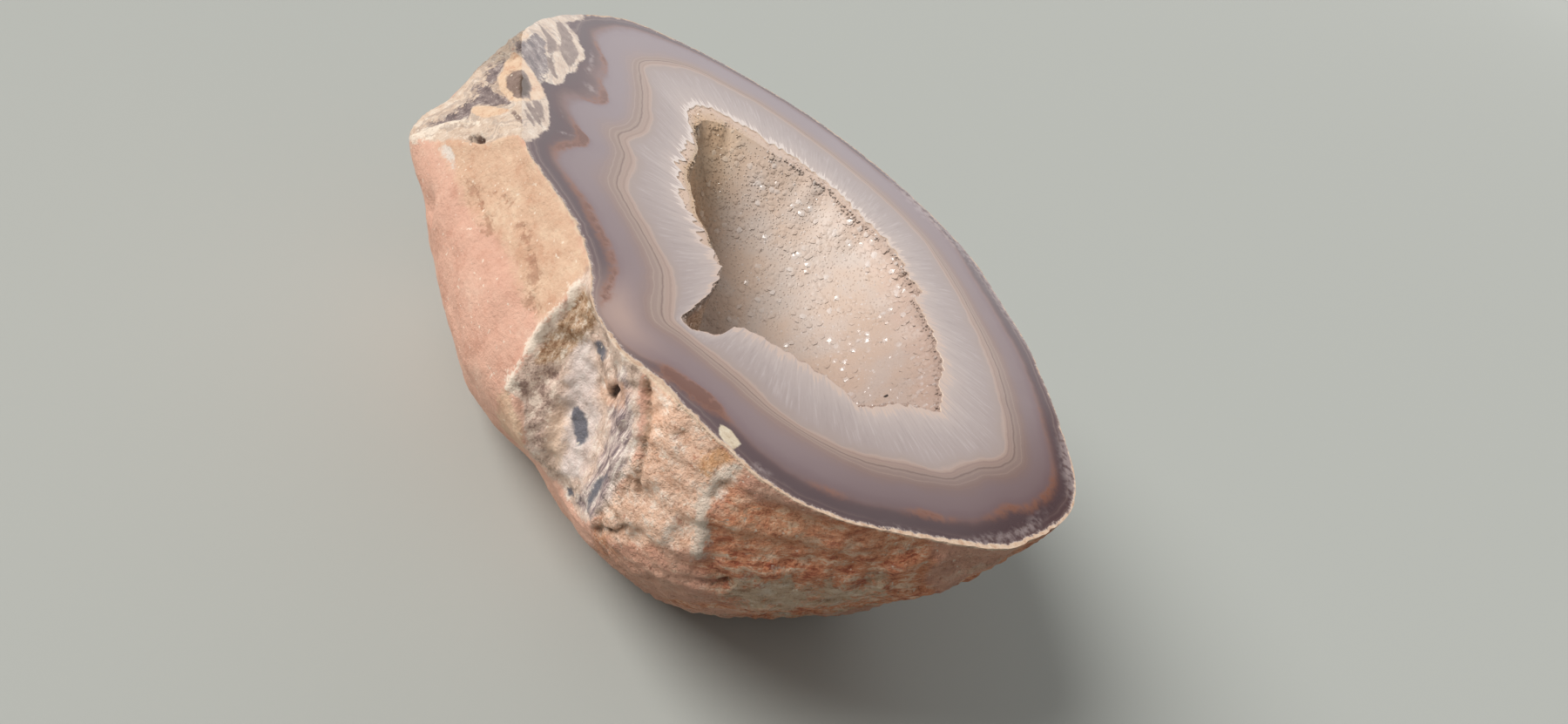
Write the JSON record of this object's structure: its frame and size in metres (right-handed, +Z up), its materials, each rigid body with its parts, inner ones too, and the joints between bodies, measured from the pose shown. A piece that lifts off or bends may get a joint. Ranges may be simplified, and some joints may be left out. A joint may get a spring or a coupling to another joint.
{
  "type": "agate geode",
  "caption": "Half of an agate geode lying on its rough underside, its banded face polished flat and its hollow lined with small quartz crystals.",
  "frame": {"origin": "under the middle of the stone's box, on the surface that the stone rests on", "axes": "+X along the polished face's long way, +Y away from the broken near side towards the smooth far side, +Z up, square to the polished face"},
  "size_m": [0.12, 0.0902, 0.046],
  "materials": {
    "agate": "satin",
    "quartz": "gloss"
  },
  "bodies": {
    "root": {"stone": "agate", "crystal_crust": "quartz"}
  },
  "joints": []
}
